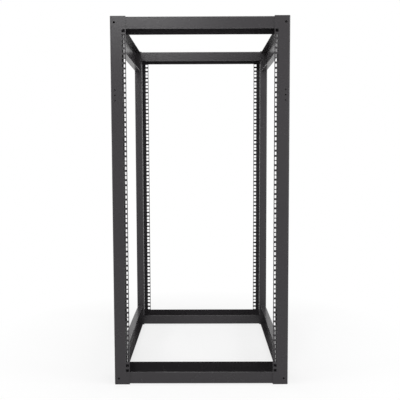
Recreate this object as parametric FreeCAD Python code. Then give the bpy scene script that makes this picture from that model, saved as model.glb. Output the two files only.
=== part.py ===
"""Four post open frame rack, 24 rack units high, folded from sheet steel.

Millimetres. X runs across the rack, Y from front to rear, Z up from the floor.
The origin is on the floor, in the middle of the rack. Every member is a
channel folded from one sheet, with its open side turned to the middle of the
rack, and the members are welded where they meet.
"""
import FreeCAD, Part
import os

from FreeCAD import Vector

os.makedirs("parts", exist_ok=True)

# Overall size
UNITS = 24
UNIT_HEIGHT = 44.45
HEIGHT = 1143.0
WIDTH = 546.1
DEPTH = 762.0

# Sheet
SHEET = 2.0
BEND_INSIDE = 2.0

# Posts: mounting flange at the front or rear, web outside, lipped flange behind
MOUNT_OPENING = 450.85
POST_DEPTH = 101.6
POST_BACK_FLANGE = 29.0
POST_LIP = 20.0

# Mounting holes: three square ones in each rack unit
HOLE_SPACING = 465.1
SQUARE_HOLE = 9.5
HOLE_OFFSETS = (6.35, 22.225, 38.1)

# Round holes, in one line near the outer edge of each mounting flange:
# accessory holes beside one of the units, and a corner hole at each end,
# which goes on through the cross beam behind
ROUND_HOLE_EDGE = 12.7
SIDE_HOLE = 5.0
SIDE_HOLE_UNIT = UNITS - 5
CORNER_HOLE = 7.1
CORNER_HOLE_END = 19.05

# Beams stand back a little from the posts' ends and outer faces
SETBACK = 1.5
CROSS_BEAM_REACH = 38.1
SIDE_BEAM_REACH = 81.0
SIDE_BEAM_FLANGE = 22.0

# Derived
MOUNT_FLANGE = (WIDTH - MOUNT_OPENING) / 2
FIRST_UNIT = (HEIGHT - UNITS * UNIT_HEIGHT) / 2
CROSS_BEAM_DEPTH = POST_DEPTH - 2 * SHEET
LIP_GAP = CROSS_BEAM_REACH + 2.0

# Ways across and along the rack
ACROSS = Vector(1, 0, 0)
ALONG = Vector(0, 1, 0)


def path_edges(corners, radius):
    """Edges along the corners, each inner corner rounded to the radius."""
    edges = []
    start = corners[0]
    for before, corner, after in zip(corners, corners[1:], corners[2:]):
        way_in = (corner - before).normalize()
        way_out = (after - corner).normalize()
        arc_start = corner - way_in * radius
        arc_end = corner + way_out * radius
        centre = arc_start + way_out * radius
        arc_middle = centre + (corner - centre).normalize() * radius
        edges.append(Part.makeLine(start, arc_start))
        edges.append(Part.Arc(arc_start, arc_middle, arc_end).toShape())
        start = arc_end
    edges.append(Part.makeLine(start, corners[-1]))
    return edges


def folded_section(corners):
    """Face of a sheet folded square at each corner, always to the same side.

    The corners run along the sheet's outside, from one free edge to the other.
    """
    ways = [(b - a).normalize() for a, b in zip(corners, corners[1:])]
    inside = [corners[0] + ways[1] * SHEET]
    for corner, way_in, way_out in zip(corners[1:], ways, ways[1:]):
        inside.append(corner - way_in * SHEET + way_out * SHEET)
    inside.append(corners[-1] - ways[-2] * SHEET)
    outer = path_edges(corners, BEND_INSIDE + SHEET)
    inner = path_edges(inside, BEND_INSIDE)
    ends = [
        Part.makeLine(corners[0], inside[0]),
        Part.makeLine(corners[-1], inside[-1]),
    ]
    return Part.Face(Part.Wire(Part.__sortEdges__(outer + inner + ends)))


def mirrored(shape, across):
    """The shape on the other side of the rack's middle plane."""
    return shape.mirror(Vector(0, 0, 0), across)


def round_hole(diameter, y, z):
    """Drill through one sheet of the left side, from its front face at y."""
    x = ROUND_HOLE_EDGE - WIDTH / 2
    return Part.makeCylinder(diameter / 2, SHEET, Vector(x, y, z), Vector(0, 1, 0))


def front_left_post():
    """Lipped channel with the mounting flange at the rack's front face."""
    left = -WIDTH / 2
    front = -DEPTH / 2
    back = front + POST_DEPTH
    section = folded_section([
        Vector(left + MOUNT_FLANGE, front, 0),
        Vector(left, front, 0),
        Vector(left, back, 0),
        Vector(left + POST_BACK_FLANGE, back, 0),
        Vector(left + POST_BACK_FLANGE, back - POST_LIP, 0),
    ])
    post = section.extrude(Vector(0, 0, HEIGHT))

    # Both cross beams fill the channel's ends: the lip stops short of them,
    # and there the flange stays flat to its full width.
    tools = []
    tabs = []
    bend = SHEET + BEND_INSIDE
    lip_x = left + POST_BACK_FLANGE - bend
    for gap_z, tab_z in ((0, 0), (HEIGHT - LIP_GAP, HEIGHT - CROSS_BEAM_REACH)):
        tools.append(Part.makeBox(
            bend, POST_LIP, LIP_GAP, Vector(lip_x, back - POST_LIP, gap_z)))
        tabs.append(Part.makeBox(
            bend, SHEET, CROSS_BEAM_REACH, Vector(lip_x, back - SHEET, tab_z)))

    # Mounting holes, three to a rack unit
    square_x = -HOLE_SPACING / 2
    for unit in range(UNITS):
        for offset in HOLE_OFFSETS:
            z = FIRST_UNIT + unit * UNIT_HEIGHT + offset
            corner = Vector(square_x - SQUARE_HOLE / 2, front, z - SQUARE_HOLE / 2)
            tools.append(Part.makeBox(SQUARE_HOLE, SHEET, SQUARE_HOLE, corner))
            if unit == SIDE_HOLE_UNIT:
                tools.append(round_hole(SIDE_HOLE, front, z))

    for z in (CORNER_HOLE_END, HEIGHT - CORNER_HOLE_END):
        tools.append(round_hole(CORNER_HOLE, front, z))
    return post.cut(Part.makeCompound(tools)).fuse(tabs).removeSplitter()


def front_bottom_beam():
    """Channel open upwards, housed between the flanges of the front posts."""
    reach = WIDTH / 2 - SHEET - BEND_INSIDE
    front = -DEPTH / 2 + SHEET
    back = front + CROSS_BEAM_DEPTH
    section = folded_section([
        Vector(-reach, front, CROSS_BEAM_REACH),
        Vector(-reach, front, SETBACK),
        Vector(-reach, back, SETBACK),
        Vector(-reach, back, CROSS_BEAM_REACH),
    ])
    hole = round_hole(CORNER_HOLE, front, CORNER_HOLE_END)
    holes = Part.makeCompound([hole, mirrored(hole, ACROSS)])
    return section.extrude(Vector(2 * reach, 0, 0)).cut(holes)


def left_side_beam():
    """Channel open to the middle, between the back flanges of the left posts."""
    outside = -WIDTH / 2 + SETBACK
    inside = outside + SIDE_BEAM_FLANGE
    reach = DEPTH / 2 - POST_DEPTH
    section = folded_section([
        Vector(inside, -reach, SETBACK),
        Vector(outside, -reach, SETBACK),
        Vector(outside, -reach, SIDE_BEAM_REACH),
        Vector(inside, -reach, SIDE_BEAM_REACH),
    ])
    return section.extrude(Vector(0, 2 * reach, 0))


def raised_copy(shape):
    """The bottom member turned over to the top of the rack."""
    return shape.mirror(Vector(0, 0, HEIGHT / 2), Vector(0, 0, 1))


post = front_left_post()
cross_beam = front_bottom_beam()
side_beam = left_side_beam()

nodes = {
    "front_left_post": post,
    "front_right_post": mirrored(post, ACROSS),
    "rear_left_post": mirrored(post, ALONG),
    "rear_right_post": mirrored(mirrored(post, ACROSS), ALONG),
    "front_bottom_beam": cross_beam,
    "rear_bottom_beam": mirrored(cross_beam, ALONG),
    "front_top_beam": raised_copy(cross_beam),
    "rear_top_beam": mirrored(raised_copy(cross_beam), ALONG),
    "left_bottom_beam": side_beam,
    "right_bottom_beam": mirrored(side_beam, ACROSS),
    "left_top_beam": raised_copy(side_beam),
    "right_top_beam": mirrored(raised_copy(side_beam), ACROSS),
}

for name, shape in nodes.items():
    shape.exportStep(os.path.join("parts", name + ".step"))
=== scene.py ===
"""Four post open frame rack: its powder coat, its weld beads and the studio.

Metres, in the rack's own frame: X across, Y from front to rear, Z up.
"""
import math

import bpy
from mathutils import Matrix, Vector


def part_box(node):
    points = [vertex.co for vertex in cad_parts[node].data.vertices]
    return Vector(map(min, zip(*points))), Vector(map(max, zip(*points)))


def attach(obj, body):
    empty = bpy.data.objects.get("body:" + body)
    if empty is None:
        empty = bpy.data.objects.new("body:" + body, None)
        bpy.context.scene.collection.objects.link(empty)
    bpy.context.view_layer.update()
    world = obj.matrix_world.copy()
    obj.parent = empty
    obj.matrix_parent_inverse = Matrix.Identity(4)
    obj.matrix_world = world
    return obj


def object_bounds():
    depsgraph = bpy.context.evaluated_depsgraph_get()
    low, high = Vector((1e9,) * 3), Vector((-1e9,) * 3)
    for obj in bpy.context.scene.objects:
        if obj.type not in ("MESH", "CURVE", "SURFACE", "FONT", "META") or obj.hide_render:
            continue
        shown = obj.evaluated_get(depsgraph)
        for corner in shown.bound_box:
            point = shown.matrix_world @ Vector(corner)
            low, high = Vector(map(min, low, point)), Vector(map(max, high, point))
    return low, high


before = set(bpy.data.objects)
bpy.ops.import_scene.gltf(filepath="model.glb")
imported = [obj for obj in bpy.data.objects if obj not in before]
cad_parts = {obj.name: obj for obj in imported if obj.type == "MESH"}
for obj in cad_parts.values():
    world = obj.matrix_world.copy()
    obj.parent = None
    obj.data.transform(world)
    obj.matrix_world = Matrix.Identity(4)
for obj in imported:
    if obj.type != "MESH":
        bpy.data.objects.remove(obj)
cad_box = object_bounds()


# ---------------------------------------------------------------- node maths

class Value:
    """A socket that takes part in sums: each operator adds a Math node."""

    def __init__(self, tree, socket):
        self.tree = tree
        self.socket = socket

    def __add__(self, other):
        return self.tree.math("ADD", self, other)

    def __mul__(self, other):
        return self.tree.math("MULTIPLY", self, other)

    def __truediv__(self, other):
        return self.tree.math("DIVIDE", self, other)

    def __rsub__(self, other):
        return self.tree.math("SUBTRACT", other, self)

    __radd__ = __add__


class Tree:
    """Builds nodes in a shader or geometry tree."""

    def __init__(self, node_tree):
        self.nodes = node_tree.nodes
        self.links = node_tree.links

    def node(self, kind, settings=None, inputs=None, output=0):
        """Add one node: its settings first, then its sockets' values or links."""
        made = self.nodes.new(kind)
        for name, value in (settings or {}).items():
            setattr(made, name, value)
        for name, value in (inputs or {}).items():
            self.feed(made.inputs[name], value)
        return Value(self, made.outputs[output]) if made.outputs else None

    def feed(self, socket, value):
        """Link a value to a socket, or set a plain number or colour on it."""
        if isinstance(value, Value):
            self.links.new(value.socket, socket)
        else:
            socket.default_value = value

    def math(self, operation, first, second=0.0):
        return self.node("ShaderNodeMath", {"operation": operation}, {0: first, 1: second})

    def mix_colour(self, factor, dark, light):
        return self.node(
            "ShaderNodeMix", {"data_type": "RGBA"}, {0: factor, 6: dark, 7: light}, output=2)


# ---------------------------------------------------------------- sizes

_, post_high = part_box("front_left_post")
cross_low, cross_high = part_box("front_top_beam")
side_low, side_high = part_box("left_top_beam")
rack_height = cad_box[1].z

MM = 0.001
SEAT_WELD_RADIUS = 1.6 * MM
SIDE_WELD_RADIUS = 1.35 * MM
RIPPLE_PITCH = 1.9 * MM
RIPPLE_DEPTH = 0.35
BEAD_SIDES = 8

# How far each bead's line lies from the edges that it follows or ends at
SEAT_DROP = 0.8 * MM
SEAT_INSET = 0.7 * MM
SEAT_PAST_END = 0.9 * MM
SEAT_SHORT_OF_POST = 1.0 * MM
SEAT_PAST_SIDE = 4.0 * MM
BUTT_INSET = 0.2 * MM
BUTT_SHORT = 0.5 * MM

# The coat's darkest and lightest black
COAT_DARK = (0.029, 0.0266, 0.0293, 1.0)
COAT_LIGHT = (0.0375, 0.0345, 0.0379, 1.0)
COAT_IOR = 1.35

WHITE = (1.0, 1.0, 1.0, 1.0)
PAPER_DARK = (0.86, 0.86, 0.86, 1.0)
PAPER_LIGHT = (0.9, 0.9, 0.9, 1.0)
FLOOR_REACH = 9.0
FLOOR_SHINE = 0.85
SHADOW_REACH = 0.9
SHADOW_SHARE = 0.35
ROOM_LIGHT = 0.25


# ---------------------------------------------------------------- finishes

def satin_black(name, roughness, peel_height):
    """Black powder coat: an even satin film with a fine orange peel."""
    material = bpy.data.materials.new(name)
    material.use_nodes = True
    material.node_tree.nodes.clear()
    tree = Tree(material.node_tree)
    place = tree.node("ShaderNodeTexCoord", output="Object")

    def noise(scale, detail, rough=0.5):
        return tree.node(
            "ShaderNodeTexNoise",
            inputs={"Vector": place, "Scale": scale, "Detail": detail, "Roughness": rough})

    drift = noise(2.6, 2.0)
    clouds = noise(38.0, 3.0, 0.6)
    peel = noise(620.0, 1.5)
    grain = noise(2400.0, 1.0)

    tone = drift * 0.45 + clouds * 0.25 + grain * 0.3
    colour = tree.mix_colour(tone, COAT_DARK, COAT_LIGHT)
    gloss = roughness - 0.03 + clouds * 0.03 + drift * 0.03
    bump = tree.node(
        "ShaderNodeBump",
        inputs={"Strength": 1.0, "Distance": peel_height, "Height": peel})
    coat = tree.node(
        "ShaderNodeBsdfPrincipled",
        inputs={"Base Color": colour, "Roughness": gloss, "Normal": bump, "IOR": COAT_IOR})
    tree.node("ShaderNodeOutputMaterial", inputs={"Surface": coat})
    return material


powder_coat = satin_black("satin_black_powder_coat", 0.27, 0.006 * MM)
weld_coat = satin_black("powder_coated_weld", 0.3, 0.02 * MM)

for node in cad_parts.values():
    for slot in node.material_slots:
        slot.material = powder_coat


# ---------------------------------------------------------------- weld beads

def corners():
    """Mirror signs of the rack's eight corners: across, along, and top or bottom."""
    for across in (1, -1):
        for along in (1, -1):
            for top in (True, False):
                yield across, along, top


def to_corner(point, across, along, top):
    """Take a point at the front left top corner to another corner."""
    x, y, z = point
    return Vector((x * across, y * along, z if top else rack_height - z))


def path_object(name, lines):
    """Curve object with one straight-cornered spline for each line of points."""
    curve = bpy.data.curves.new(name, "CURVE")
    curve.dimensions = "3D"
    for line in lines:
        spline = curve.splines.new("POLY")
        spline.points.add(len(line) - 1)
        for point, place in zip(spline.points, line):
            point.co = (*place, 1.0)
    path = bpy.data.objects.new(name, curve)
    bpy.context.scene.collection.objects.link(path)
    return path


def bead_nodes():
    """Geometry nodes: a rippled bead of weld along each spline."""
    group = bpy.data.node_groups.new("weld_bead", "GeometryNodeTree")
    group.interface.new_socket("Geometry", in_out="INPUT", socket_type="NodeSocketGeometry")
    for name in ("Radius", "Ripple Pitch", "Ripple Depth"):
        group.interface.new_socket(name, in_out="INPUT", socket_type="NodeSocketFloat")
    group.interface.new_socket("Finish", in_out="INPUT", socket_type="NodeSocketMaterial")
    group.interface.new_socket("Geometry", in_out="OUTPUT", socket_type="NodeSocketGeometry")
    tree = Tree(group)
    given = group.nodes.new("NodeGroupInput")

    def wanted(name):
        return Value(tree, given.outputs[name])

    pitch = wanted("Ripple Pitch")
    path = tree.node(
        "GeometryNodeResampleCurve", {"mode": "LENGTH"},
        {"Curve": wanted("Geometry"), "Length": pitch / 4})
    along = tree.node("GeometryNodeSplineParameter", output="Length")
    unsteady = tree.node(
        "ShaderNodeTexNoise",
        inputs={"Vector": tree.node("GeometryNodeInputPosition"),
                "Scale": 260.0, "Detail": 1.0})
    step = tree.math("FRACT", along / pitch + unsteady * 0.8)
    # Each ripple swells fast and then runs level, as a circle's quarter does
    swell = tree.math("SQRT", step * (2.0 - step))
    size = wanted("Radius") * (1.0 - wanted("Ripple Depth") * (1.0 - swell))
    size = size * (0.9 + unsteady * 0.2)
    ring = tree.node(
        "GeometryNodeCurvePrimitiveCircle", inputs={"Resolution": BEAD_SIDES, "Radius": 1.0})
    bead = tree.node(
        "GeometryNodeCurveToMesh",
        inputs={"Curve": path, "Profile Curve": ring, "Scale": size, "Fill Caps": True})
    bead = tree.node("GeometryNodeRealizeInstances", inputs={"Geometry": bead})
    bead = tree.node(
        "GeometryNodeSetMaterial", inputs={"Geometry": bead, "Material": wanted("Finish")})
    tree.node("NodeGroupOutput", inputs={"Geometry": bead})
    return group


def grown(source, name, group, values):
    """Plain mesh object grown from the source by the node group."""
    modifier = source.modifiers.new("grow", "NODES")
    modifier.node_group = group
    for item in group.interface.items_tree:
        if item.item_type == "SOCKET" and item.in_out == "INPUT" and item.name in values:
            modifier[item.identifier] = values[item.name]
    bpy.context.view_layer.update()
    evaluated = source.evaluated_get(bpy.context.evaluated_depsgraph_get())
    mesh = bpy.data.meshes.new_from_object(evaluated)
    mesh.shade_smooth()
    source.modifiers.remove(modifier)
    bpy.data.objects.remove(source)
    piece = bpy.data.objects.new(name, mesh)
    bpy.context.scene.collection.objects.link(piece)
    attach(piece, "root")
    return piece


# A bead joins each cross beam's end to the inside of the post, round three sides.
seat_z = cross_high.z - SEAT_DROP
seat_front = cross_low.y + SEAT_INSET
seat_back = cross_high.y - SEAT_INSET
seat_web = cross_low.x - SEAT_PAST_END
seat_line = (
    (post_high.x - SEAT_SHORT_OF_POST, seat_front, seat_z),
    (seat_web, seat_front, seat_z),
    (seat_web, seat_back, seat_z),
    (side_high.x + SEAT_PAST_SIDE, seat_back, seat_z),
)
bead_group = bead_nodes()
seat_lines = [[to_corner(p, *corner) for p in seat_line] for corner in corners()]
grown(
    path_object("seat_paths", seat_lines), "post_end_welds", bead_group,
    {"Radius": SEAT_WELD_RADIUS, "Ripple Pitch": RIPPLE_PITCH,
     "Ripple Depth": RIPPLE_DEPTH, "Finish": weld_coat})

# Another runs round the outside of each side beam's end, on the post's back flange.
butt_y = side_low.y + BUTT_INSET
side_line = (
    (side_high.x - BUTT_SHORT, butt_y, side_low.z),
    (side_low.x, butt_y, side_low.z),
    (side_low.x, butt_y, side_high.z),
    (side_high.x - BUTT_SHORT, butt_y, side_high.z),
)
side_lines = [[to_corner(p, *corner) for p in side_line] for corner in corners()]
grown(
    path_object("side_paths", side_lines), "side_beam_welds", bead_group,
    {"Radius": SIDE_WELD_RADIUS, "Ripple Pitch": RIPPLE_PITCH,
     "Ripple Depth": RIPPLE_DEPTH, "Finish": weld_coat})


# ---------------------------------------------------------------- studio

def glow(tree):
    """Emission that is just white."""
    return tree.node("ShaderNodeEmission", inputs={"Color": WHITE, "Strength": 1.0})


def studio_paper(material):
    """Floor paper: white to the eye and in reflections, with the object's shadow."""
    material.use_nodes = True
    material.node_tree.nodes.clear()
    tree = Tree(material.node_tree)
    place = tree.node("ShaderNodeTexCoord", output="Object")
    mottle = tree.node(
        "ShaderNodeTexNoise", inputs={"Vector": place, "Scale": 1.5, "Detail": 2.0})
    rays = tree.nodes.new("ShaderNodeLightPath")
    paper = tree.node(
        "ShaderNodeBsdfDiffuse",
        inputs={"Color": tree.mix_colour(mottle, PAPER_DARK, PAPER_LIGHT)})
    mirrored = tree.math(
        "MAXIMUM", Value(tree, rays.outputs["Is Glossy Ray"]),
        Value(tree, rays.outputs["Is Transmission Ray"]))
    paper = tree.node(
        "ShaderNodeMixShader", inputs={0: mirrored * FLOOR_SHINE, 1: paper, 2: glow(tree)})
    # Near the rack the paper's own light shows, and with it the shadow
    side = tree.node("ShaderNodeSeparateXYZ", inputs={"Vector": place}, output="X")
    back = tree.node("ShaderNodeSeparateXYZ", inputs={"Vector": place}, output="Y")
    away = side * side + back * back
    under = tree.math("MAXIMUM", 1.0 - away / SHADOW_REACH ** 2, 0.0)
    seen = Value(tree, rays.outputs["Is Camera Ray"]) * (1.0 - under * SHADOW_SHARE)
    paper = tree.node("ShaderNodeMixShader", inputs={0: seen, 1: paper, 2: glow(tree)})
    tree.node("ShaderNodeOutputMaterial", inputs={"Surface": paper})


floor_mesh = bpy.data.meshes.new("studio_floor")
floor_mesh.from_pydata(
    [(-FLOOR_REACH, -FLOOR_REACH, 0), (FLOOR_REACH, -FLOOR_REACH, 0),
     (FLOOR_REACH, FLOOR_REACH, 0), (-FLOOR_REACH, FLOOR_REACH, 0)],
    [], [(0, 1, 2, 3)])
floor = bpy.data.objects.new("studio_floor", floor_mesh)
bpy.context.scene.collection.objects.link(floor)
floor_mesh.materials.append(bpy.data.materials.new("studio_floor"))
studio_paper(floor_mesh.materials[0])

# The room is white to the eye and in reflections, and lights the rack softly
world = bpy.data.worlds.new("studio")
bpy.context.scene.world = world
world.use_nodes = True
world.node_tree.nodes.clear()
sky = Tree(world.node_tree)
rays = sky.nodes.new("ShaderNodeLightPath")
seen = sky.math(
    "MAXIMUM", Value(sky, rays.outputs["Is Camera Ray"]),
    Value(sky, rays.outputs["Is Glossy Ray"]))
seen = sky.math("MAXIMUM", seen, Value(sky, rays.outputs["Is Transmission Ray"]))


def backdrop(strength):
    """White background of one strength."""
    return sky.node("ShaderNodeBackground", inputs={"Color": WHITE, "Strength": strength})


sky.node(
    "ShaderNodeOutputWorld",
    inputs={"Surface": sky.node(
        "ShaderNodeMixShader", inputs={0: seen, 1: backdrop(ROOM_LIGHT), 2: backdrop(1.0)})})


rack_middle = (cad_box[0] + cad_box[1]) / 2


def softbox(name, place, size, power):
    """Square area lamp at a place, turned to face the rack's middle."""
    lamp = bpy.data.lights.new(name, "AREA")
    lamp.shape = "SQUARE"
    lamp.size = size
    lamp.energy = power
    box = bpy.data.objects.new(name, lamp)
    bpy.context.scene.collection.objects.link(box)
    box.location = place
    box.rotation_euler = (rack_middle - Vector(place)).to_track_quat("-Z", "Y").to_euler()


softbox("key_softbox", (-0.6, -3.9, 2.45), size=1.0, power=38.0)
softbox("fill_softbox", (2.0, -3.4, 1.0), size=1.6, power=18.0)
softbox("left_softbox", (-2.6, -0.9, 1.3), size=1.4, power=30.0)
softbox("right_softbox", (2.6, -0.9, 1.3), size=1.4, power=36.0)
softbox("overhead_softbox", (0.0, -0.1, 4.2), size=2.4, power=85.0)

# Camera: a normal lens a little above the rack's middle, tipped down
camera_data = bpy.data.cameras.new("camera")
camera_data.sensor_width = 36.0
camera_data.lens = 54.25
camera_data.shift_x = -0.0008
camera_data.shift_y = -0.0109
camera = bpy.data.objects.new("camera", camera_data)
bpy.context.scene.collection.objects.link(camera)
camera.location = (0.0083, -2.2354, 0.7350)
camera.rotation_euler = tuple(math.radians(a) for a in (85.76, 0.20, 0.27))
bpy.context.scene.camera = camera

bpy.context.scene.view_settings.view_transform = "Standard"
